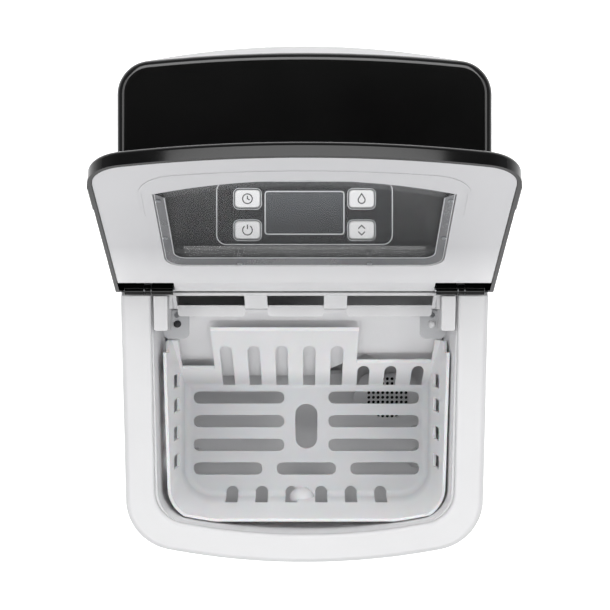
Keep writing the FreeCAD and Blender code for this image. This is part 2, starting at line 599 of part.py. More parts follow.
def tub():
    """The water well with the basket's posts, its ramp and the partition."""
    shells = []
    for index, (grow, floor, top) in enumerate((("tubWall", "tubFloor - tubWall", "320"),
                                                ("0", "tubFloor", "330"))):
        low = (f"{wellHalf} - tubTaper + {grow}", f"{wellFront} - 20", f"tubBack + {grow}")
        high = (f"{wellHalf} + {grow}", f"{wellFront} - 20", f"tubBack + {grow}")
        hopper = tapered("TubHopper%d" % index, low, high, (floor, top))
        bow = rod("TubBow%d" % index, f"wellRadius + {grow}", "400", "0", f"{wellFront} + wellRadius", "0")
        solid = common("TubSolid%d" % index, hopper, bow)
        extra = size("tubWall") if index == 0 else 0
        shells.append(roundEdges("TubRound%d" % index, solid,
                      (size("wellCorner") + extra, lambda edge: upright(edge) and middle(edge).y < 0),
                      (8 + extra, lambda edge: upright(edge) and middle(edge).y > 0)))
    wide = ("-bodyWidth", "bodyWidth")
    lid = common("TubLidAhead", slope("TubSlope", f"{deckUnder} - skin", "200", f"{front} - 60",
                                      "troughFront + 60"),
                 span("TubAheadBox", wide, ("-bodyDepth", "troughFront - skin"), ("0", "600")))
    rear = span("TubLidBehind", wide, ("troughFront - skin", "bodyDepth"), (f"{troughUnder} - skin", "600"))
    shell = cut("TubShell", shells[0], shells[1], lid, rear)
    foot, rise, knee = "-basketBack + 5", "tubFloor - 0.5", "basketFloor + 73"
    slide = profile("TubSlide", (f"-({wellHalf} - tubTaper + 0.5)", f"{wellHalf} - tubTaper + 0.5"), [
        (foot, rise), (foot, "basketFloor - 4"), ("rampKnee", knee), ("sillY - fit - 2.2", "rampTop"),
        ("sillY - fit", "rampTop"), ("rampKnee + rampThick", knee), (f"{foot} + rampThick",
                                                                     "basketFloor - 5"),
        (f"{foot} + rampThick", rise)])
    # the way to the strainer: upright beside rampX, then a slanting edge towards the middle
    way = span("RampWay", ("rampX - 5", "bodyWidth"), ("-bodyDepth", "0"), ("0", "rampEdge"))
    slant = bind(doc.addObject("Part::Box", "RampSlant"), Length="60", Width="bodyDepth", Height="60")
    turn(slant, (0, 1, 0), -rampTurn)
    place(slant, f"60 * sin({rampTurn} * 1deg)", "-bodyDepth",
          f"basketFloor - 10 - 60 * cos({rampTurn} * 1deg)")
    ramp = cut("TubRamp", slide, way, slant)
    spots = [(f"basketShift + {side} * (basketHalf - 8)", f"-slotRow - slotPitch * {rows}")
             for side in (-1, 1) for rows in (1.5, 2.5)]
    spots += [("rampX + 2", "-basketBack - 3"), ("basketShift + 8 - basketHalf", "-basketBack - 3")]
    posts = [rod("Post%d" % index, "postRadius", "basketFloor - skin - tubFloor + 0.5", x, y,
                 "tubFloor - 0.5")
             for index, (x, y) in enumerate(spots)]
    drainHole = rod("TubDrain", "4", "12", "84", "-118", "tubFloor - 6")
    sump = rod("TubSump", "meshPitch * 4.6", "12", "strainerX", "-strainerY", "tubFloor - 6")
    part(cut("Tub", fuse("TubWhole", shell, ramp, *posts), drainHole, sump), "reservoir_tub")

    jacket = cut("JacketRing", footprint("JacketOuter", f"{inside} - 3", (f"{front} + 6", "tubBack + 14"),
                 ("tubFloor - 12", "250"), "frontRadius", None, size("bodyCorner") - 6, 10.0),
                 footprint("JacketInner", f"{wellHalf} + tubWall + 0.4", (f"{wellFront} - tubWall - 0.5",
                           "tubBack + tubWall + 0.5"), ("tubFloor - tubWall - 0.3", "300"),
                           "(wellRadius + tubWall)", None, size("wellCorner") + 2, 9.0))
    holes = [rod("JacketDrain", "7", "60", "84", "-118", "tubFloor - 40"),
             rod("JacketPump", "24", "60", "strainerX", "-strainerY", "tubFloor - 50"),
             block("JacketHose", "strainerX", "-strainerY / 2", "tubFloor - 50", "12", "strainerY", "60"),
             span("JacketBack", ("-bodyWidth", "bodyWidth"), ("tubBack - 2", "bodyDepth"), ("0", "400"))]
    part(cut("Jacket", jacket, *holes), "foam_jacket")


def basket():
    """The lift-out ice basket: sloped back, slots in the floor and on every side."""
    run, wall = "rampRun / basketTall", "basketWall"
    top = "basketFloor + basketTall"
    solids = []
    for index, (inset, floor) in enumerate((("0", "basketFloor"), (wall, "basketFloor + basketWall"))):
        back = f"-basketBack - 1.1 * ({inset})"
        low = (f"basketHalf - {inset}", f"-basketFront + {inset}", f"{back} + {run} * {inset}")
        high = (f"basketHalf + basketFlare - {inset}", f"-basketFront - frontRun + {inset}",
                f"{back} + rampRun")
        hopper = tapered("Basket%d" % index, low, high, (floor, top if index == 0 else f"{top} + 0.5"))
        less = size("basketWall") * index
        doc.recompute()
        level = size("basketFloor") + size("basketWall") * index
        rounded = roundEdges("BasketRound%d" % index, hopper,
                             (size("basketCorner") - less,
                              lambda edge: upright(edge) and middle(edge).y < -100),
                             (7 - less, lambda edge, low=level: not upright(edge)
                              and abs(middle(edge).z - low) < 0.01))
        bow = rod("BasketBow%d" % index, f"(wellRadius - basketGap - {inset})", "400", "-basketShift",
                  f"{wellFront} + wellRadius", "0")
        solids.append(common("BasketBowed%d" % index, rounded, bow))
    bump = doc.addObject("Part::Sphere", "Bump")
    place(bind(bump, Radius="bumpRadius"), "-3.1", "-basketFront - 1", "basketFloor + 3")
    dent = doc.addObject("Part::Sphere", "Dent")
    place(bind(dent, Radius="bumpRadius - 1.6"), "-3.1", "-basketFront - 1", "basketFloor + 3")
    knob = common("BumpInside", bump, solids[0])
    over = slope("BasketRim", "-rimDrop", "200", "-bodyDepth", "60")
    wide = ("-bodyWidth", "bodyWidth")
    lows = [span("LowBack", wide, ("-30", "60"), ("basketFloor + 87", "500")),
            span("LowRight", ("36", "basketHalf - 2"), ("-basketBack + 8", "60"), ("basketFloor + 38",
                                                                                   "500")),
            span("LowLeft", ("-basketHalf + 2", "-66"), ("-basketBack + 6", "60"), ("basketFloor + 28",
                                                                                    "500"))]
    # the side walls stop short of the sensor brackets, which they pass on the way up
    lows += [span("LiftRoom%d" % index, xs, ("-liftRoom", "60"), ("0", "500"))
             for index, xs in enumerate((("-bodyWidth", "-basketHalf + 3"), ("basketHalf - 3", "bodyWidth")))]
    slots = []
    for row in range(3):
        for side in (-1, 1):
            slots.append(("-slotFar", "-slotNear", row) if side < 0 else ("slotNear", "slotFar", row))
    slots += [("-slotFar", "-32.4", 3), ("-22", "22", 3), ("32.4", "slotFar", 3)]
    tools = [place(padded("Slot%d" % index, f"({far}) - ({near})", "slotWide", "8", "slotWide / 2 - 0.05"),
                   f"(({near}) + ({far})) / 2", f"-slotRow - slotPitch * {row}", "basketFloor - 3")
             for index, (near, far, row) in enumerate(slots)]
    tools.append(place(padded("SlotMiddle", "16.3", "33", "8", "8.1"), "0", "-slotRow - slotPitch * 1.21",
                       "basketFloor - 3"))
    for index in range(8):
        x = f"backSlotPitch * {index} - backSlotX - basketShift"
        reach = "-26.2" if index < 5 else "-41.5"
        half = "backSlotWide / 2"
        tools.append(span("BackSlot%d" % index, (f"{x} - {half}", f"{x} + {half}"),
                          ("-basketBack - 1.6", f"{reach} - {half}"), ("basketFloor - 2", "300")))
        tools.append(rod("BackArch%d" % index, half, "140", x, f"{reach} - {half}", "basketFloor + 6"))
    for index in range(6):
        x = f"21.8 * {index - 2.5}"
        tools.append(span("FrontSlot%d" % index, (f"{x} - 4.5", f"{x} + 4.5"),
                          ("-basketFront - 30", "-basketFront + 4.8"), ("basketFloor - 3",
                                                                        "basketFloor + 24")))
        tools.append(rod("FrontArch%d" % index, "4.5", "27", x, "-basketFront + 4.8", "basketFloor - 3"))
    for side in (-1, 1):
        for index, y in enumerate(("-51.7", "-69", "-88.7", "-108.7")):
            tools.append(block("EndSlot%d%d" % (side + 1, index), f"{side} * (basketHalf + 8)", y,
                               "basketFloor + 31",
                               "24", "9.5", "31"))
    hollow = cut("BasketHollow", solids[0], solids[1], *lows)
    slotted = cut("BasketOpen", hollow, *tools)
    shell = cut("BasketDent", fuse("BasketWhole", slotted, knob), dent, over)
    part(place(shell, x="basketShift"), "ice_basket")


def hood():
    """The hood over the ice maker, with its three windows, and what it carries."""
    plates = [profile("HoodSlant", ("-hoodHalf", "hoodHalf"), [
        ("sillY", "sillHeight"), ("sillY + hoodWall", "sillHeight"), ("troughFront + 3.2", "hoodTop"),
        ("troughFront + 3 - hoodWall", "hoodTop")])]
    plates.append(span("HoodSkirt", ("-hoodHalf", "hoodHalf"), ("sillY", "sillY + hoodWall"), ("236",
                                                                                               "sillHeight")))
    plates.append(span("HoodRoof", ("-hoodHalf", "hoodHalf"), ("troughFront + 1", "64"),
                       ("hoodTop - hoodWall", "hoodTop")))
    for side in (-1, 1):
        plates.append(span("HoodSide%d" % (side + 1), ("hoodHalf - hoodWall", "hoodHalf") if side > 0 else
                           ("-hoodHalf", "hoodWall - hoodHalf"), ("sillY", "64"), ("236", "hoodTop")))
    windows = [("-85.8", "-40.2"), ("-25", "13"), ("28.5", "86")]
    holes = [span("IceWindow%d" % index, xs, ("-10", "troughFront + 4"), ("sillHeight + 1",
                                                                          "hoodTop - hoodWall"))
             for index, xs in enumerate(windows)]
    tongues = [place(padded("Tongue%d" % index, f"({far}) - ({near})", "7", "hoodWall", "2.4"),
                     f"(({near}) + ({far})) / 2", "sillY - 1.5", "sillHeight - hoodWall + 1")
               for index, (near, far) in enumerate(windows)]
    bores = [rod("ShaftHole%d" % index, "shaftRadius + shaftPlay", "hoodHalf * 2 + 10", "-hoodHalf - 5",
                 "shaftY", z,
                 "x") for index, z in enumerate(("trayHigh", "evaporatorZ"))]
    bores.append(rod("StubHole", "4.3", "12", "hoodHalf - 6", "fingerY", "evaporatorZ", "x"))
    part(cut("Hood", fuse("HoodWhole", *plates, *tongues), *holes, *bores), "evaporator_hood")

    fingers = [turned("Finger%d" % index, [("0", "fingerLow"), ("fingerRadius - 1.6", "fingerLow"),
               ("fingerRadius", "fingerLow + 3"), ("fingerRadius", "evaporatorZ"), ("0", "evaporatorZ")],
               f"fingerPitch * {index - 4}", "fingerY") for index in range(9)]
    tubeMain = rod("EvaporatorTube", "evaporatorRadius", "hoodHalf * 2 - 10", "5 - hoodHalf", "fingerY",
                   "evaporatorZ", "x")
    stub = rod("EvaporatorStub", "4", "10", "hoodHalf - 6", "fingerY", "evaporatorZ", "x")
    part(fuse("Evaporator", tubeMain, stub, *fingers), "evaporator")

    trough = cut("TrayCut", span("TrayOuter", ("-trayHalf", "trayHalf"), ("trayFront", "trayBack"),
                                 ("trayLow", "trayHigh")),
                 span("TrayInner", ("trayWall - trayHalf", "trayHalf - trayWall"),
                      ("trayFront + trayWall", "trayBack - trayWall"), ("trayLow + trayWall",
                                                                        "trayHigh + 5")))
    soft = roundEdges("TraySoft", trough, (6.0, lambda edge: abs(direction(edge).x) > 0.9
                      and abs(middle(edge).z - size("trayLow")) < 0.01))
    arms = [span("TrayArm%d" % index, xs, ("trayBack - 1", "shaftY"), ("trayHigh - 6",
                                                                       "trayHigh + shaftRadius"))
            for index, xs in enumerate((("-trayHalf", "6 - trayHalf"), ("trayHalf - 6", "trayHalf")))]
    shaft = rod("TrayShaft", "shaftRadius", "hoodHalf * 2 + 4", "-hoodHalf - 2", "shaftY", "trayHigh", "x")
    part(fuse("Tray", soft, shaft, *arms), "water_tray")

    teeth = [block("Tooth%d" % index, f"fingerPitch * {index - 3.5}", "shaftY", "evaporatorZ - shovelReach",
                   "8",
                   "2.4", "shovelReach") for index in range(8)]
    bar = rod("ShovelShaft", "shaftRadius", "hoodHalf * 2 + 4", "-hoodHalf - 2", "shaftY", "evaporatorZ", "x")
    part(fuse("Shovel", bar, *teeth), "ice_shovel")
    gearbox = span("Gearbox", ("hoodHalf + 2.4", f"{wellHalf} - 2.6"), ("shaftY - 14", "shaftY + 12"),
                   ("trayHigh - 10", "evaporatorZ + 6"))
    part(gearbox, "tray_motor")

    blocks, plates, screws = [], [], []
    for side in (-1, 1):
        xs = ("hoodHalf + 0.3", f"{wellHalf} - 1.7") if side > 0 else (f"1.7 - {wellHalf}", "-hoodHalf - 0.3")
        cheek = profile("Cheek%d" % (side + 1), xs, [
            ("-14.7", "270"), ("troughFront - 0.3", "270"), ("troughFront - 0.3",
                                                             f"{deckAt('troughFront')} - 8"),
            ("troughFront - 0.3", f"{deckAt('troughFront')} - 1.2"), ("-14.7", f"{deckAt('-14.7')} - 1.2")])
        blocks.append(roundEdges("CheekSoft%d" % (side + 1), cheek, (1.5, lambda edge: middle(edge).y < -14.6
                      and abs(direction(edge).x) < 0.1)))
        plates.append(cut("SensorPlate%d" % (side + 1), place(padded("Plate%d" % (side + 1), "17.5", "19",
                                                                     "1.6",
                      "4"), f"{side} * 87", "-11", "268.2"), rod("SensorSeat%d" % (side + 1), "2.7", "9",
                      f"{side} * 86.4", "-10.6", "264")))
        screws.append(turned("PlateScrew%d" % (side + 1), [("0", "0"), ("1.8", "0"), ("1.8", "0.5"), ("1.2",
                                                                                                      "1"),
                      ("0", "1")], f"{side} * 86.6", "-4.6", "269.8"))
    part(group("HingeBlocks", blocks), "side_blocks")
    part(group("SensorPlates", plates), "sensor_brackets")
    part(group("PlateScrews", screws), "bracket_screws")
    for side, label in ((-1, "ice_sensor_receiver"), (1, "ice_sensor_emitter")):
        part(turned("Sensor%d" % (side + 1), [("0", "0"), ("2.5", "0"), ("2.5", "4.4"), ("1.6", "5.9"), ("0",
                                                                                                         "6.4")],
                    f"{side} * 86.4", "-10.6", "266"), label)


def water():
    """Strainer, pump, hose, level sensor and the drain."""
    plate = place(padded("StrainerPlate", "strainerWide", "strainerDeep", "strainerThick", "9"), "strainerX",
                  "-strainerY", "tubFloor + skin")
    bosses = [rod("StrainerBoss%d" % index, "6.2", "strainerThick + 2", f"strainerX + {offset}", "-strainerY",
                  "tubFloor + skin") for index, offset in enumerate((-20, 19))]
    mesh = [rod("Mesh%d%d" % (i, j), "meshRadius", "strainerThick + 4", f"strainerX + meshPitch * {i - 4}",
                f"meshPitch * {j - 4} - strainerY", "tubFloor - 1")
            for i in range(9) for j in range(9) if abs(i - 4) + abs(j - 4) <= 6]
    part(cut("Strainer", fuse("StrainerWhole", plate, *bosses), group("MeshHoles", mesh)), "pump_strainer")

    top = "tubFloor - tubWall - 1"
    pump = turned("Pump", [("0", "0"), ("14", "0"), ("14", "22"), ("21", "22"), ("21", "34"), ("6", "34"),
                           ("6", "36"),
                           ("0", "36")], "strainerX", "-strainerY", f"{top} - 36")
    spout = rod("PumpSpout", "3.5", "18", "strainerX", "-strainerY + 14", f"{top} - 8", "y")
    part(fuse("PumpWhole", pump, spout), "water_pump")
    x, y, z = size("strainerX"), -size("strainerY") + 32, size("tubFloor") - size("tubWall") - 9
    end = size("tubBack") + size("tubWall") + 5
    rise = [Vector(x, y, z), Vector(x, y + 22, z), Vector(x, y + 40, z - 16), Vector(x, end, z - 16),
            Vector(x, end, 262)]
    part(tube("Hose", rise, 3.5, 8), "water_hose")
    probe = fuse("Probe", block("ProbeHead", "-70", "64", "tubFloor + 80", "16", "7", "12"),
                 rod("ProbePinA", "1.2", "70", "-74", "64", "tubFloor + 12"),
                 rod("ProbePinB", "1.2", "70", "-66", "64", "tubFloor + 12"))
    part(probe, "level_sensor")
    elbow = tube("SpoutPipe", [Vector(84, size("capY"), size("tubFloor") - size("tubWall") - 0.2),
                 Vector(84, size("capY"), size("capZ")), Vector(size("bodyWidth") / 2 - 20.2, size("capY"),
                 size("capZ"))], 5, 14)
    sleeve = rod("SpoutSleeve", "capRadius - 3", "11", f"{halfBody} - 20.2", "capY", "capZ", "x")
    bore = rod("SpoutBore", "5.6", "10", f"{halfBody} - 18", "capY", "capZ", "x")
    part(cut("Spout", fuse("SpoutWhole", elbow, sleeve), bore), "drain_spout")
    cap = turn(turned("Cap", [("0", "-14"), ("5.1", "-14"), ("5.1", "-8"), ("capRadius", "-8"), ("capRadius",
                                                                                                 "-1.4"),
                              ("capRadius - 1", "-0.4"), ("0", "-0.4")]), (0, 1, 0), 90)
    part(place(cap, halfBody, "capY", "capZ"), "drain_cap")


def works():
    """Compressor, condenser, fan and the refrigerant lines behind the well."""
    r, tall = "compressorRadius", "compressorHeight"
    low = f"{panTop} + 9"
    can = turned("Can", [("0", "0"), (f"{r} - 12", "0"), (r, "10"), (r, f"{tall} - 22"), (f"{r} - 12",
                                                                                          f"{tall} - 5"),
                         (f"{r} - 30", tall), ("0", tall)], "compressorX", "compressorY", low)
    flange = block("CanFeet", "compressorX", "compressorY", f"{panTop} + 6", "compressorRadius * 1.9", "34",
                   "3.2")
    part(fuse("Compressor", can, flange), "compressor")
    part(group("Mounts", [turned("Mount%d" % (side + 1), [("0", "0"), ("7", "0"), ("5", "3"), ("7", "6"),
                                                          ("0", "6")],
         f"compressorX + {side} * (compressorRadius - 9)", "compressorY", panTop) for side in (-1, 1)]),
         "compressor_mounts")
    fins = [block("Fin%d" % index, "coilX", "coilY + coilDeep / 2 + 1", f"coilLow + 6 + {index * 7}",
                  "coilWide - 14",
                  "coilDeep", "1.2") for index in range(16)]
    runs = [rod("CoilRun%d" % index, "3.2", "coilHigh - 6", f"coilX - coilWide / 2 + 14 + {index * 13.6}",
                "coilY + coilDeep / 2 + 1", "coilLow", "z") for index in range(6)]
    ends = [block("CoilEnd%d" % index, "coilX", "coilY + coilDeep / 2 + 1", z, "coilWide - 12", "coilDeep",
                  "2")
            for index, z in enumerate(("coilLow", "coilLow + coilHigh - 8"))]
    part(fuse("Condenser", *fins, *runs, *ends), "condenser")
    plate = block("ShroudPlate", "coilX", "fanY - 14", "coilLow", "coilWide - 6", "2", "coilHigh")
    ring = rod("ShroudRing", "fanRadius + 4", "18", "coilX", "fanY - 15", "fanZ", "y")
    hole = rod("ShroudHole", "fanRadius + 2", "60", "coilX", "fanY - 40", "fanZ", "y")
    spider = [block("Spider0", "coilX", "fanY + 14", "fanZ - fanRadius - 6", "8", "3", "fanRadius * 2 + 12"),
              block("Spider1", "coilX", "fanY + 14", "fanZ - 4", "fanRadius * 2 + 12", "3", "8")]
    ties = [span("Tie%d" % index, (f"coilX + {x} - 3", f"coilX + {x} + 3"), ("fanY - 15", "fanY + 15.5"),
                 (f"fanZ + {z} - 4", f"fanZ + {z} + 4")) for index, (x, z) in enumerate(
                 ((-45, 0), (45, 0)))]
    seat = rod("FanSeat", "fanHub + 1.4", "12", "coilX", "fanY + 8", "fanZ", "y")
    motorHole = rod("MotorHole", "fanHub + 0.2", "24", "coilX", "fanY + 4", "fanZ", "y")
    part(cut("Shroud", fuse("ShroudWhole", cut("ShroudOpen", fuse("ShroudSolid", plate, ring), hole), seat,
                            *spider,
                            *ties), motorHole), "fan_shroud")
    hub = rod("FanHub", "fanHub", "10", "coilX", "fanY - 9", "fanZ", "y")
    shaftHole = rod("FanBore", "1.55", "14", "coilX", "fanY - 12", "fanZ", "y")
    blades = []
    for index in range(5):
        blade = bind(doc.addObject("Part::Box", "Blade%d" % index), Length="fanRadius - fanHub + 2",
                     Width="1.6",
                     Height="24")
        spin = Rotation(Vector(0, 1, 0), 72 * index)
        blade.Placement = Placement(Vector(), spin * Rotation(Vector(1, 0, 0), 55))
        out = spin.multVec(Vector(size("fanHub") - 2, -8, -8))
        place(blade, f"coilX + {out.x}", f"fanY + {out.y + 16}", f"fanZ + {out.z}")
        blades.append(blade)
    trim = rod("BladeTrim", "fanRadius", "9", "coilX", "fanY - 8.5", "fanZ", "y")
    part(cut("FanBlade", fuse("FanWhole", hub, common("BladesTrimmed", fuse("Blades", *blades), trim)),
             shaftHole),
         "fan_blade")
    part(fuse("FanMotor", rod("MotorCan", "fanHub", "18", "coilX", "fanY + 4", "fanZ", "y"),
              rod("MotorShaft", "1.5", "12", "coilX", "fanY - 8", "fanZ", "y")), "fan_motor")
    drierX, drierY = 3.0, size("tubBack") + 34
    part(turned("Drier", [("0", "0"), ("2.5", "0"), ("3", "6"), ("8", "12"), ("8", "52"), ("3", "58"), ("2.5",
                                                                                                        "64"),
                          ("0", "64")], str(drierX), str(drierY + 8), "150"), "filter_drier")
    up, cx, cy = size("compressorHeight") + size("footHeight") + size("panFloor") + 9, size("compressorX"), \
        size("compressorY")
    routes = [[Vector(cx + 10, cy, up), Vector(cx + 10, cy, 250), Vector(cx + 10, size("tubBack") + 20, 250),
               Vector(95, size("tubBack") + 20, 250), Vector(95, size("tubBack") + 20, 268)],
              [Vector(cx - 10, cy, up), Vector(cx - 10, cy, 176), Vector(cx - 10, size("tubBack") + 24, 176),
               Vector(size("coilX") - 34, size("tubBack") + 24, 176),
               Vector(size("coilX") - 34, size("tubBack") + 24, size("coilLow") + size("coilHigh") - 6)],
              [Vector(drierX, drierY + 8, 215), Vector(drierX, drierY + 8, 232),
               Vector(drierX, size("tubBack") + 22, 232), Vector(drierX + 40, size("tubBack") + 22, 232)]]
    part(group("Lines", [tube("Line%d" % index, route, 2.2, 7) for index, route in enumerate(routes)]),
         "refrigerant_tubes")
    board = [block("BoardPlate", "-52", "116", "268", "90", "60", "1.6"),
              block("Relay", "-76", "104", "269.6", "18", "14", "15"),
              block("Transformer", "-34", "124", "269.6", "26", "24", "22"),
              rod("Capacitor", "6", "18", "-60", "130", "269.6")]
    part(fuse("PowerBoard", *board), "power_board")


casing()
deck()
rearCover()
lid()
tub()
basket()
hood()
water()
works()
doc.recompute()
faults = [item.Name for item in doc.Objects if "Invalid" in item.State or "Error" in item.State]
faults += [label for label, item in parts.items() if item.Shape.isNull() or not item.Shape.isValid()]
if faults:
    raise RuntimeError("These did not build: " + ", ".join(faults))
os.makedirs("parts", exist_ok=True)
for label, item in parts.items():
    item.Shape.exportStep("parts/%s.step" % label)
print(len(parts), "parts written")
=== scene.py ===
import math
import random

import bmesh
import bpy
from mathutils import Matrix, Vector


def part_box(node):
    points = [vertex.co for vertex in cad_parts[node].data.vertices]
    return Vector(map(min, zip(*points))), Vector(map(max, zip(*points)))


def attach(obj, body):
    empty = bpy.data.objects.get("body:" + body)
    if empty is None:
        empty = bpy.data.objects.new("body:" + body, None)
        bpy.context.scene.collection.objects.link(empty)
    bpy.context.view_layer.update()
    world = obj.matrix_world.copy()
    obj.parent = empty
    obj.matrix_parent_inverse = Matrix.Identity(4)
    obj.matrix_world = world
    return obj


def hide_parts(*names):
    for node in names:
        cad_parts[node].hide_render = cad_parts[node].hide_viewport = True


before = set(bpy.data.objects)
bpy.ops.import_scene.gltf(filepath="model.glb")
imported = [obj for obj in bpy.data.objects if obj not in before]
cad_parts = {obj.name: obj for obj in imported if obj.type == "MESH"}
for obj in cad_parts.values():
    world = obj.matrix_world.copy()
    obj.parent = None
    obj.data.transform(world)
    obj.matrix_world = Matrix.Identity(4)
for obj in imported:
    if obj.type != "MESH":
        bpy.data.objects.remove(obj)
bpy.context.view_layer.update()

random.seed(7)
scene = bpy.context.scene
mm = 0.001
print("frame loaded:", len(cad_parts), "nodes")

# camera: straight above the open lid, at arm's length
view = {"place": (0.0003, 0.0023, 1.390), "lensMm": 97.4, "sensorMm": 36, "near": 0.05, "far": 30}
camera = bpy.data.objects.new("studioCamera", bpy.data.cameras.new("studioCamera"))
camera.location = view["place"]
camera.data.lens, camera.data.sensor_width = view["lensMm"], view["sensorMm"]
camera.data.clip_start, camera.data.clip_end = view["near"], view["far"]
scene.collection.objects.link(camera)
scene.camera = camera
scene.view_settings.view_transform = "Standard"


def linear(hexColour):
    channels = [int(hexColour[i:i + 2], 16) / 255 for i in (1, 3, 5)]
    return tuple(c / 12.92 if c <= 0.04045 else ((c + 0.055) / 1.055) ** 2.4 for c in channels) + (1.0,)


def addNode(tree, kind, settings=None, links=None):
    node = tree.nodes.new(kind)
    for key, value in (settings or {}).items():
        if isinstance(key, int) or (key in node.inputs and not hasattr(node, key)):
            node.inputs[key].default_value = value
        else:
            setattr(node, key, value)
    for key, source in (links or {}).items():
        tree.links.new(source, node.inputs[key])
    return node


# how every finish mixes its grain with a slow drift of tone, and how far that moves its roughness
mixing = {"grainShare": 0.35, "driftMm": 60, "toneStart": 0.45, "toneEnd": 0.95, "glossier": 0.88,
          "duller": 1.16}


def finish(name, look):
    material = bpy.data.materials.new(name)
    material.use_nodes = True
    tree = material.node_tree
    tree.nodes.clear()
    place = addNode(tree, "ShaderNodeTexCoord")
    stretched = addNode(tree, "ShaderNodeMapping", {"Scale": look.get("stretch", (1, 1, 1))},
                        {"Vector": place.outputs["Object"]})
    grainScale = 1 / (look["grainMm"] * mm)
    if look.get("cells"):
        grain = addNode(tree, "ShaderNodeTexVoronoi", {"Scale": grainScale},
                        {"Vector": stretched.outputs["Vector"]})
        height = grain.outputs["Distance"]
    else:
        grain = addNode(tree, "ShaderNodeTexNoise", {"Scale": grainScale, "Detail": 3.0},
                        {"Vector": stretched.outputs["Vector"]})
        height = grain.outputs["Fac"]
    driftScale = 1 / (look.get("driftMm", mixing["driftMm"]) * mm)
    drift = addNode(tree, "ShaderNodeTexNoise", {"Scale": driftScale, "Detail": 2.0},
                    {"Vector": place.outputs["Object"]})
    mixed = addNode(tree, "ShaderNodeMath", {"operation": "MULTIPLY_ADD", 1: mixing["grainShare"]},
                    {0: height, 2: drift.outputs["Fac"]})
    tones = addNode(tree, "ShaderNodeValToRGB", {}, {"Fac": mixed.outputs["Value"]})
    dark, light = tones.color_ramp.elements
    dark.position, light.position = mixing["toneStart"], mixing["toneEnd"]
    dark.color, light.color = linear(look["low"]), linear(look["high"])
    colour = tones.outputs["Color"]
    if "paintedShade" in look:  # painted shade: a darker tone mixed into the colour along one axis, from one height to another
        axis, start, end, paintedShadeTint = look["paintedShade"]
        apart = addNode(tree, "ShaderNodeSeparateXYZ", {}, {"Vector": place.outputs["Object"]})
        amount = addNode(tree, "ShaderNodeMapRange", {"From Min": start, "From Max": end},
                         {"Value": apart.outputs[axis]})
        merged = addNode(tree, "ShaderNodeMix", {"data_type": "RGBA"})
        tree.links.new(amount.outputs["Result"], merged.inputs[0])
        tree.links.new(colour, merged.inputs[6])
        merged.inputs[7].default_value = linear(paintedShadeTint)
        colour = merged.outputs[2]
    sheen = addNode(tree, "ShaderNodeMapRange", {"To Min": look["rough"] * mixing["glossier"],
                    "To Max": look["rough"] * mixing["duller"]}, {"Value": mixed.outputs["Value"]})
    relief = addNode(tree, "ShaderNodeBump", {"Strength": look.get("relief", 0.15),
                     "Distance": look.get("depthMm", 0.02) * mm}, {"Height": height})
    fixed = {"Metallic": look.get("metallic", 0.0), "Coat Weight": look.get("coat", 0.0),
             "Coat Roughness": look.get("coatRough", 0.05), "Subsurface Weight": look.get("glow", 0.0),
             "Subsurface Scale": look.get("glowMm", 2.0) * mm,
             "Transmission Weight": look.get("through", 0.0), "Alpha": look.get("alpha", 1.0)}
    if "ior" in look:
        fixed["IOR"] = look["ior"]
    shader = addNode(tree, "ShaderNodeBsdfPrincipled", fixed, {"Base Color": colour,
                     "Roughness": sheen.outputs["Result"], "Normal": relief.outputs["Normal"]})
    addNode(tree, "ShaderNodeOutputMaterial", {}, {"Surface": shader.outputs["BSDF"]})
    return material


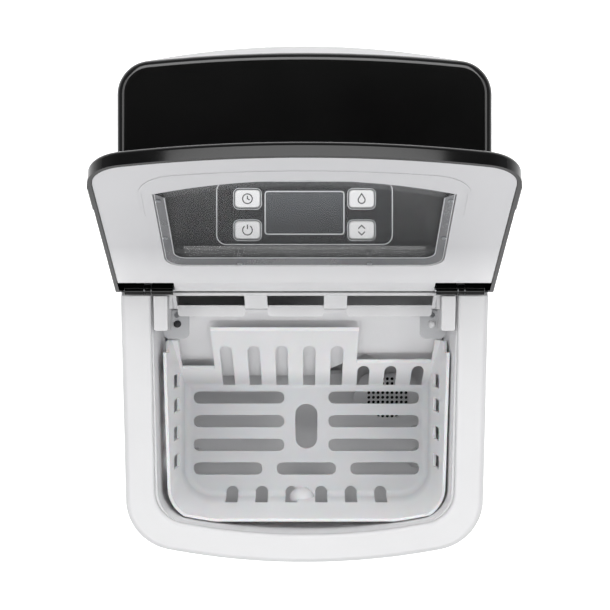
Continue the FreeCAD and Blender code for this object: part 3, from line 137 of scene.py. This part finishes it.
lensLow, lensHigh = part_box("display_lens")
finishes = {
    # steel sheet under white powder coat: faint orange peel that softens its highlights
    "powderCoatedSteel": {"low": "#e2e2e3", "high": "#e7e7e8", "rough": 0.34, "grainMm": 1.4, "depthMm": 0.03,
                          "relief": 0.12, "ior": 1.5, "coat": 0.15, "coatRough": 0.2},
    # injection-moulded ABS from a spark-eroded mould: fine even grain, soft highlights
    "whiteMouldedAbs": {"low": "#d6d6d7", "high": "#dbdbdc", "rough": 0.36, "grainMm": 0.5, "depthMm": 0.012,
                        "ior": 1.53},
    # polished-mould ABS of the lid's liner: smoother, with painted shade that greys it towards the top
    "linerAbs": {"low": "#ececed", "high": "#f1f1f2", "rough": 0.4, "grainMm": 0.6, "depthMm": 0.012,
                 "relief": 0.12, "ior": 1.53, "paintedShade": ("Z", 0.325, 0.37, "#cbcbcd")},
    # food-grade ABS of the well, satin and slightly cool
    "wellAbs": {"low": "#ebebec", "high": "#f3f3f4", "rough": 0.42, "grainMm": 0.8, "depthMm": 0.015,
                "ior": 1.53},
    # milky polypropylene: light soaks in a little, the flow marks run across, and painted shade greys the
    # floor
    "milkyPolypropylene": {"low": "#f0f0f1", "high": "#f6f6f7", "rough": 0.4, "grainMm": 1.0, "depthMm": 0.02,
                           "ior": 1.49, "stretch": (1, 0.35, 0.35), "glow": 0.2, "glowMm": 2.5,
                           "paintedShade": ("Z", 0.195, 0.172, "#d6d7d9")},
    # lacquered ABS of the lid's shell: black, with a narrow, faint gleam along its edges
    "satinBlackAbs": {"low": "#040404", "high": "#070707", "rough": 0.1, "grainMm": 0.7, "depthMm": 0.004,
                      "relief": 0.05, "ior": 1.33, "coat": 0.1, "coatRough": 0.1},
    # smoke-grey moulding round the window: even mid grey, polished
    "smokeGreyTrim": {"low": "#5c5d5f", "high": "#6e6f72", "rough": 0.25, "grainMm": 0.8, "depthMm": 0.006,
                      "relief": 0.1, "ior": 1.5, "coat": 0.3},
    # piano-black ABS under clear lacquer: near mirror with a trace of haze
    "pianoBlackAbs": {"low": "#040404", "high": "#080808", "rough": 0.16, "grainMm": 0.7, "depthMm": 0.004,
                      "relief": 0.05, "ior": 1.42, "coat": 0.25, "coatRough": 0.06},
    # screen-printed polyester film over the controls: near black, even, with a slight gloss
    "printedFilm": {"low": "#070708", "high": "#0c0c0e", "rough": 0.17, "grainMm": 0.35, "depthMm": 0.004,
                    "relief": 0.1, "ior": 1.35},
    # smoked acrylic lens over an unlit display, with painted shade that darkens it towards its front edge
    "smokedAcrylic": {"low": "#3a3d40", "high": "#44474b", "rough": 0.2, "grainMm": 14, "driftMm": 26,
                      "depthMm": 0.002, "relief": 0.05, "ior": 1.49, "coat": 0.4,
                      "paintedShade": ("Y", lensHigh.y, lensLow.y, "#232528")},
    # moulded ABS key caps with a spark finish, a shade off white
    "keyAbs": {"low": "#dadadb", "high": "#e6e6e7", "rough": 0.38, "grainMm": 0.4, "depthMm": 0.01,
               "ior": 1.53},
    # pad-printed ink: flat, with the screen's grain
    "blackInk": {"low": "#1b1b1d", "high": "#26262a", "rough": 0.5, "grainMm": 0.3, "depthMm": 0.005,
                 "relief": 0.2},
    # silver screen print that frames the panel and the display
    "silverInk": {"low": "#b4b5b7", "high": "#cbccce", "rough": 0.4, "grainMm": 0.3, "depthMm": 0.005,
                  "relief": 0.2},
    # bright zinc on steel: blue-grey and slightly matt
    "zincPlatedSteel": {"low": "#9fa1a4", "high": "#bfc1c4", "rough": 0.3, "grainMm": 0.6, "depthMm": 0.01,
                        "relief": 0.2, "metallic": 1.0},
    # grey acetal, moulded: waxy and soft
    "greyAcetal": {"low": "#b9babc", "high": "#c6c7c9", "rough": 0.45, "grainMm": 0.6, "depthMm": 0.015,
                   "relief": 0.2, "ior": 1.48},
    # glass-filled nylon: matt with a fibrous grain
    "darkNylon": {"low": "#17181a", "high": "#232427", "rough": 0.5, "grainMm": 0.7, "depthMm": 0.02,
                  "relief": 0.25, "ior": 1.53},
    # moulded rubber: matt, pebbled, a little bloom
    "mouldedRubber": {"low": "#141414", "high": "#242423", "rough": 0.75, "grainMm": 0.9, "depthMm": 0.05,
                      "relief": 0.4, "ior": 1.52},
    # green solder mask over copper: glossy with islands
    "solderMask": {"low": "#0d3a20", "high": "#145030", "rough": 0.35, "grainMm": 3, "depthMm": 0.03,
                   "relief": 0.3, "cells": True},
    # nickel over copper: bright, softly pitted
    "nickelPlatedCopper": {"low": "#a8a49b", "high": "#c9c6be", "rough": 0.22, "grainMm": 1.1, "relief": 0.2,
                           "metallic": 1.0},
    # drawn copper pipe: faint lines along its length
    "drawnCopper": {"low": "#b0684a", "high": "#cf8a68", "rough": 0.32, "grainMm": 0.8, "relief": 0.2,
                    "metallic": 1.0, "stretch": (1, 1, 0.2)},
    # stoved enamel on pressed steel: deep black with slight orange peel
    "blackEnamel": {"low": "#0b0b0c", "high": "#151517", "rough": 0.3, "grainMm": 1.6, "depthMm": 0.03,
                    "relief": 0.2, "coat": 0.3},
    # pressed aluminium fin stock: brushed across
    "pressedAluminium": {"low": "#b3b6b8", "high": "#cdd0d2", "rough": 0.35, "grainMm": 0.5, "depthMm": 0.01,
                         "relief": 0.25, "metallic": 1.0, "stretch": (0.15, 1, 1)},
    # expanded polystyrene: beads a few millimetres across, pressed together
    "expandedPolystyrene": {"low": "#dfdfdc", "high": "#f2f2ef", "rough": 0.7, "grainMm": 3.5, "depthMm": 0.4,
                            "relief": 0.5, "cells": True},
    # extruded silicone hose: milky and slightly see-through
    "extrudedSilicone": {"low": "#c2c5c7", "high": "#d3d6d8", "rough": 0.3, "grainMm": 1.5, "relief": 0.1,
                         "ior": 1.41, "through": 0.35},
    # clear polycarbonate pane with a light haze from moulding
    "clearPolycarbonate": {"low": "#c4c6c8", "high": "#d0d2d4", "rough": 0.12, "grainMm": 40, "driftMm": 90,
                           "depthMm": 0.002, "relief": 0.02, "ior": 1.58, "alpha": 0.06},
}
materials = {name: finish(name, look) for name, look in finishes.items()}
print("materials made:", len(materials))

finishOf = {
    "powderCoatedSteel": ["front_wrap", "rear_panel"],
    "whiteMouldedAbs": ["top_frame", "side_blocks"],
    "linerAbs": ["lid_liner"],
    "wellAbs": ["reservoir_tub", "evaporator_hood", "water_tray", "pump_strainer", "drain_spout"],
    "milkyPolypropylene": ["ice_basket"],
    "pianoBlackAbs": ["rear_cover"],
    "satinBlackAbs": ["lid_shell", "hinge_lugs"],
    "printedFilm": ["control_overlay"],
    "smokedAcrylic": ["display_lens"],
    "keyAbs": ["timer_button", "power_button", "clean_button", "select_button", "ice_sensor_emitter"],
    "clearPolycarbonate": ["lid_window"],
    "zincPlatedSteel": ["window_screws", "hinge_pins", "bracket_screws", "fan_motor"],
    "greyAcetal": ["sensor_brackets", "ice_shovel", "level_sensor"],
    "mouldedRubber": ["rubber_feet", "drain_cap", "compressor_mounts"],
    "solderMask": ["control_board", "power_board"],
    "nickelPlatedCopper": ["evaporator"],
    "drawnCopper": ["filter_drier", "refrigerant_tubes"],
    "blackEnamel": ["base_pan", "compressor"],
    "pressedAluminium": ["condenser"],
    "expandedPolystyrene": ["foam_jacket"],
    "darkNylon": ["cord_gland", "display_module", "tray_motor", "ice_sensor_receiver", "water_pump",
                  "fan_shroud", "fan_blade"],
    "extrudedSilicone": ["water_hose"],
}
for name, nodes in finishOf.items():
    for node in nodes:
        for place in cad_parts[node].material_slots:
            place.material = materials[name]
print("nodes finished:", sum(len(nodes) for nodes in finishOf.values()))


def newPiece(name, mesh, material, body):
    piece = bpy.data.objects.new(name, mesh)
    scene.collection.objects.link(piece)
    mesh.materials.append(materials[material])
    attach(piece, body)
    return piece


mergeGap = 1e-6  # points closer than this are one point
inkSeat = 0.005 * mm  # how deep ink reaches into what it is printed on
pieceSeat = 0.01 * mm  # how deep a built piece sits in the part under it


def meshFrom(name, form):
    bmesh.ops.remove_doubles(form, verts=form.verts, dist=mergeGap)
    bmesh.ops.recalc_face_normals(form, faces=form.faces)
    mesh = bpy.data.meshes.new(name)
    form.to_mesh(mesh)
    form.free()
    return mesh


def ribbon(form, points, width, height, closed, matrix=Matrix.Identity(4)):
    # a flat line of ink or a thin rib: each point is widened square to the line, then raised;
    # a sharp corner is widened to twice the line at most
    count = len(points)
    rows = []
    for index, point in enumerate(points):
        before = points[(index - 1) % count] if closed or index else point
        after = points[(index + 1) % count] if closed or index < count - 1 else point
        inward, outward = (Vector(point) - Vector(before)), (Vector(after) - Vector(point))
        inward = inward.normalized() if inward.length else outward.normalized()
        outward = outward.normalized() if outward.length else inward
        along = (inward + outward).normalized()
        side = Vector((-along.y, along.x)) * (width / 2 / max(0.5, along.dot(inward)))
        corners = [Vector(point) + side, Vector(point) - side]
        rows.append([form.verts.new(matrix @ Vector((c.x, c.y, z))) for c in corners for z in (0, height)])
    for index in range(count if closed else count - 1):
        a, b = rows[index], rows[(index + 1) % count]
        for i, j in ((0, 1), (1, 3), (3, 2), (2, 0)):
            form.faces.new((a[i], a[j], b[j], b[i]))
    if not closed:
        for row in (rows[0], rows[-1]):
            form.faces.new((row[0], row[1], row[3], row[2]))


def arc(radius, start, end, steps, centre=(0, 0)):
    return [(centre[0] + radius * math.cos(math.radians(start + (end - start) * i / steps)),
             centre[1] + radius * math.sin(math.radians(start + (end - start) * i / steps)))
            for i in range(steps + 1)]


def roundedBox(halfWide, halfDeep, radius, steps=8):
    points = []
    for quarter, (x, y) in enumerate(((1, 1), (-1, 1), (-1, -1), (1, -1))):
        points += arc(radius, 90 * quarter, 90 * quarter + 90, steps,
                      (x * (halfWide - radius), y * (halfDeep - radius)))
    return points


# printed marks on the four keys: plain shapes, raised as thick as pad-printed ink;
# the marks' points are shares of the mark's radius
marks = {"height": 0.06, "line": 0.75, "radius": 3.1, "drop": 0.72, "dropDown": 0.25, "arrowHalf": 0.7,
         "arrowFoot": 0.3}
size = marks["radius"] * mm
inkWidth, inkHeight = marks["line"] * mm, marks["height"] * mm
dropRound = arc(size * marks["drop"], 160, 380, 22, (0, -size * marks["dropDown"]))
arrowHalf, arrowFoot = size * marks["arrowHalf"], size * marks["arrowFoot"]
iconLines = {  # for each key its lines, and whether a line closes on itself
    "timer": [(arc(size, 0, 360, 32)[:-1], True),
              ([(0, size * 0.62), (0, 0), (size * 0.45, -size * 0.25)], False)],
    "clean": [([(0, size * 1.05)] + dropRound, True)],
    "power": [(arc(size, 125, 415, 28), False), ([(0, size * 1.15), (0, size * 0.2)], False)],
    "select": [([(-arrowHalf, way * arrowFoot), (0, way * size), (arrowHalf, way * arrowFoot)], False)
               for way in (1, -1)],
}
for key, lines in iconLines.items():
    low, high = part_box(key + "_button")
    form = bmesh.new()
    spot = Matrix.Translation(((low.x + high.x) / 2, (low.y + high.y) / 2, high.z - inkSeat))
    for points, closed in lines:
        ribbon(form, points, inkWidth, inkHeight, closed, spot)
    newPiece(key + "Mark", meshFrom(key + "Mark", form), "blackInk", key + "_key")
print("key marks printed:", len(iconLines))

# silver lines round the panel, the display and the keys
panelPrint = {"height": 0.05, "panelLine": 0.7, "panelOut": -1.1, "panelCorner": 6.2, "lensLine": 0.8,
              "lensOut": 0.75, "lensCorner": 1.8, "keyLine": 0.45, "keySkirt": 1, "keyOut": 1.0,
              "keyCorner": 3.4}
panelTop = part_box("control_overlay")[1].z
outlined = [("control_overlay", "panel", 0), ("display_lens", "lens", 0)]
outlined += [(key + "_button", "key", panelPrint["keySkirt"]) for key in iconLines]
form = bmesh.new()
for node, kind, skirt in outlined:  # a key's box takes in its skirt, which is under the panel
    low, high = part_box(node)
    grown = (panelPrint[kind + "Out"] - skirt) * mm
    spot = Matrix.Translation(((low.x + high.x) / 2, (low.y + high.y) / 2, panelTop - inkSeat))
    outline = roundedBox((high.x - low.x) / 2 + grown, (high.y - low.y) / 2 + grown,
                         panelPrint[kind + "Corner"] * mm)
    ribbon(form, outline, panelPrint[kind + "Line"] * mm, panelPrint["height"] * mm, True, spot)
newPiece("panelLines", meshFrom("panelLines", form), "silverInk", "housing")
print("panel lines printed")


def islands(node, inverse):
    # lowest and highest corner of every loose part of a CAD node, measured in another frame
    form = bmesh.new()
    form.from_mesh(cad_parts[node].data)
    bmesh.ops.remove_doubles(form, verts=form.verts, dist=mergeGap)
    left, found = set(form.verts), []
    while left:
        loose = [left.pop()]
        for vertex in loose:
            for other in (edge.other_vert(vertex) for edge in vertex.link_edges):
                if other in left:
                    left.discard(other)
                    loose.append(other)
        spots = [inverse @ vertex.co for vertex in loose]
        found.append((Vector([min(spot[i] for spot in spots) for i in range(3)]),
                      Vector([max(spot[i] for spot in spots) for i in range(3)])))
    form.free()
    return sorted(found, key=lambda pair: tuple(round(value, 5) for value in pair[0]))


# the open lid's own frame: X across, Y up along it from the hinge pins, Z out of its inner face
lidFrame = {"leanDegrees": 67.3}
pinLow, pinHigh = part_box("hinge_pins")
lidPlace = (Matrix.Translation((0, (pinLow.y + pinHigh.y) / 2, (pinLow.z + pinHigh.z) / 2))
            @ Matrix.Rotation(math.radians(lidFrame["leanDegrees"]), 4, "X"))
lidInverse = lidPlace.inverted()

# window screws: small pan heads with a cross recess, each turned its own way
screws = {"radius": 1.6, "headTall": 1.1, "domeDrop": 0.4, "recess": 0.6, "shankRadius": 0.85, "arms": 0.17,
          "reach": 0.66, "rings": 8, "sides": 32}


def screwHead(form, place, turn, shank):
    radius, sides = screws["radius"] * mm, screws["sides"]
    rings = []
    for step in range(screws["rings"] + 1):
        share = step / screws["rings"]
        ring = []
        for index in range(sides):
            angle = 2 * math.pi * index / sides
            x, y = abs(math.cos(angle + turn)) * share, abs(math.sin(angle + turn)) * share
            sunk = screws["recess"] if min(x, y) < screws["arms"] and max(x, y) < screws["reach"] else 0
            height = (screws["headTall"] * (1 - screws["domeDrop"] * share ** 2) - sunk) * mm
            ring.append((share * radius, height, angle))
        rings.append(ring)
    shankRadius = screws["shankRadius"] * mm
    for reach, height in ((radius, 0), (shankRadius, 0), (shankRadius, -shank)):
        rings.append([(reach, height, 2 * math.pi * index / sides) for index in range(sides)])
    rows = [[form.verts.new(place @ Vector((reach * math.cos(angle), reach * math.sin(angle), height)))
             for reach, height, angle in ring] for ring in rings]
    for inner, outer in zip(rows, rows[1:]):
        for index in range(sides):
            after = (index + 1) % sides
            form.faces.new((inner[index], outer[index], outer[after], inner[after]))
    form.faces.new(rows[-1])


form = bmesh.new()
for low, high in islands("window_screws", lidInverse):
    seatHeight = high.z - screws["headTall"] * mm
    seat = Matrix.Translation(((low.x + high.x) / 2, (low.y + high.y) / 2, seatHeight))
    screwHead(form, lidPlace @ seat, random.uniform(0, math.pi), seatHeight - low.z)
heads = newPiece("windowScrewHeads", meshFrom("windowScrewHeads", form), "zincPlatedSteel", "lid")
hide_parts("window_screws")
print("window screws cut")

# smoke-grey rim on the window's flange, with a silver line along its inner and outer edge;
# bow is the radius of the window's head, and the flange is wider at its foot than at its sides
trim = {"bow": 226, "edgeIn": 0.1, "corner": 11.6, "flangeSide": 6.6, "flangeFoot": 11.8, "flangeHead": 8.1,
        "innerCorner": 7.4, "rise": 0.12, "lineIn": 0.6, "lineWide": 0.5, "lineRise": 0.3}
turnSteps, bowSteps = 8, 28


def beside(centre, point, distance):
    # a point of the outline, moved towards the middle of the window, or away from it if distance is negative
    point = Vector(point)
    return tuple(point + (centre - point).normalized() * distance)


def archedOutline(half, low, top, bow, corner):
    sweep = math.degrees(math.asin(half / bow))
    return (arc(corner, 180, 270, turnSteps, (corner - half, low + corner))
            + arc(corner, 270, 360, turnSteps, (half - corner, low + corner))
            + arc(bow, 90 - sweep, 90 + sweep, bowSteps, (0, top - bow)))


low, high = islands("lid_window", lidInverse)[0]
bow, edgeIn = trim["bow"] * mm, trim["edgeIn"] * mm
outer = archedOutline(high.x - edgeIn, low.y + edgeIn, high.y - edgeIn, bow, trim["corner"] * mm)
inner = archedOutline(high.x - trim["flangeSide"] * mm, low.y + trim["flangeFoot"] * mm,
                      high.y - trim["flangeHead"] * mm, bow, trim["innerCorner"] * mm)
# the rim runs down one side, along the foot and up the other; the head is bare
sidesAndFoot = 2 * (turnSteps + 1) + 1
outer, inner = [[line[-1]] + line[:sidesAndFoot] for line in (outer, inner)]
form = bmesh.new()
foot, rise = high.z - pieceSeat, high.z + trim["rise"] * mm
strip = [[form.verts.new(lidPlace @ Vector((x, y, z)))
          for (x, y), z in ((edge, foot), (edge, rise), (inside, rise), (inside, foot))]
         for edge, inside in zip(outer, inner)]
for near, far in zip(strip, strip[1:]):
    for index in range(4):
        after = (index + 1) % 4
        form.faces.new((near[index], near[after], far[after], far[index]))
for end in (strip[0], strip[-1]):
    form.faces.new(end)
newPiece("windowRim", meshFrom("windowRim", form), "smokeGreyTrim", "lid")
form = bmesh.new()
onFlange = lidPlace @ Matrix.Translation((0, 0, high.z))
middle = Vector((0, (low.y + high.y) / 2))
for line, distance in ((outer, trim["lineIn"] * mm), (inner, -trim["lineIn"] * mm)):
    shifted = [beside(middle, point, distance) for point in line]
    ribbon(form, shifted, trim["lineWide"] * mm, trim["lineRise"] * mm, False, onFlange)
newPiece("windowRimLines", meshFrom("windowRimLines", form), "silverInk", "lid")
print("window rim built")

# drain cap: a moulded grip bar and ring on its outer face
capGrip = {"ringShare": 0.78, "ringWide": 1.2, "barWide": 3.2, "barShare": 0.6, "rise": 1.2}
low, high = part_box("drain_cap")
outward = 1 if high.x > 0 else -1
face = high.x if outward > 0 else low.x
capHalf = (high.z - low.z) / 2
form = bmesh.new()
capFace = (Matrix.Translation((face - outward * pieceSeat, (low.y + high.y) / 2, (low.z + high.z) / 2))
           @ Matrix.Rotation(math.radians(90 * outward), 4, "Y"))
ring = arc(capHalf * capGrip["ringShare"], 0, 360, 40)[:-1]
ribbon(form, ring, capGrip["ringWide"] * mm, capGrip["rise"] * mm, True, capFace)
reach = capHalf * capGrip["barShare"]
ribbon(form, [(-reach, 0), (reach, 0)], capGrip["barWide"] * mm, capGrip["rise"] * mm, False, capFace)
newPiece("drainCapGrip", meshFrom("drainCapGrip", form), "mouldedRubber", "drain_plug")
print("drain cap grip built")

# floor: white paper that glows a little, so that it stays white in the render
sweep = {"half": 8, "drop": 0.2, "fibreMm": 4, "low": "#fafafa", "high": "#ffffff", "rough": 0.9,
         "glow": 0.55}
form = bmesh.new()
bmesh.ops.create_grid(form, x_segments=2, y_segments=2, size=sweep["half"])
floor = bpy.data.objects.new("studioFloor", meshFrom("studioFloor", form))
floor.location.z = -sweep["drop"] * mm
scene.collection.objects.link(floor)
paper = bpy.data.materials.new("whitePaperSweep")  # matt seamless paper with a hint of fibre
paper.use_nodes = True
fibre = addNode(paper.node_tree, "ShaderNodeTexNoise", {"Scale": 1 / (sweep["fibreMm"] * mm), "Detail": 2.0})
fibreTones = addNode(paper.node_tree, "ShaderNodeValToRGB", {}, {"Fac": fibre.outputs["Fac"]})
fibreTones.color_ramp.elements[0].color = linear(sweep["low"])
fibreTones.color_ramp.elements[1].color = linear(sweep["high"])
paperShader = paper.node_tree.nodes["Principled BSDF"]
paperShader.inputs["Roughness"].default_value = sweep["rough"]
paper.node_tree.links.new(fibreTones.outputs["Color"], paperShader.inputs["Base Color"])
paperShader.inputs["Emission Color"].default_value = linear(sweep["high"])
paperShader.inputs["Emission Strength"].default_value = sweep["glow"]
floor.data.materials.append(paper)
print("floor laid")

# four boxes in a ring overhead: soft light reaches into the well, and none hangs straight above
# the gloss black
softboxes = {
    "frontBox": {"place": (0, -1.05, 1.4), "size": (1.5, 0.7), "watts": 10},
    "leftBox": {"place": (-0.8, 0.1, 1.6), "size": (1.2, 0.6), "watts": 6},
    "rightBox": {"place": (0.8, 0.1, 1.6), "size": (1.2, 0.6), "watts": 6},
    "rearBox": {"place": (0, 0.95, 1.6), "size": (1.3, 0.8), "watts": 17},
}
aim = Vector((0, 0, 0.2))
for name, box in softboxes.items():
    lamp = bpy.data.objects.new(name, bpy.data.lights.new(name, "AREA"))
    lamp.data.shape = "RECTANGLE"
    lamp.data.size, lamp.data.size_y = box["size"]
    lamp.data.energy = box["watts"]
    lamp.location = box["place"]
    lamp.rotation_euler = (aim - Vector(box["place"])).to_track_quat("-Z", "Y").to_euler()
    scene.collection.objects.link(lamp)

# room: grey walls, and an unlit ceiling so that gloss black stays black from above
room = {"walls": "#a8a8aa", "ceiling": "#0c0c0d", "wallsEnd": 0.2, "ceilingStart": 0.95}
world = bpy.data.worlds.new("paleStudio")
scene.world = world
world.use_nodes = True
worldTree = world.node_tree
worldTree.nodes.clear()
way = addNode(worldTree, "ShaderNodeTexCoord")
parted = addNode(worldTree, "ShaderNodeSeparateXYZ", {}, {"Vector": way.outputs["Generated"]})
lift = addNode(worldTree, "ShaderNodeMapRange",
               {"From Min": room["wallsEnd"], "From Max": room["ceilingStart"]},
               {"Value": parted.outputs["Z"]})
sky = addNode(worldTree, "ShaderNodeValToRGB", {}, {"Fac": lift.outputs["Result"]})
sky.color_ramp.elements[0].color = linear(room["walls"])
sky.color_ramp.elements[1].color = linear(room["ceiling"])
backdrop = addNode(worldTree, "ShaderNodeBackground", {"Strength": 1.0}, {"Color": sky.outputs["Color"]})
addNode(worldTree, "ShaderNodeOutputWorld", {}, {"Surface": backdrop.outputs["Background"]})
print("studio lit")
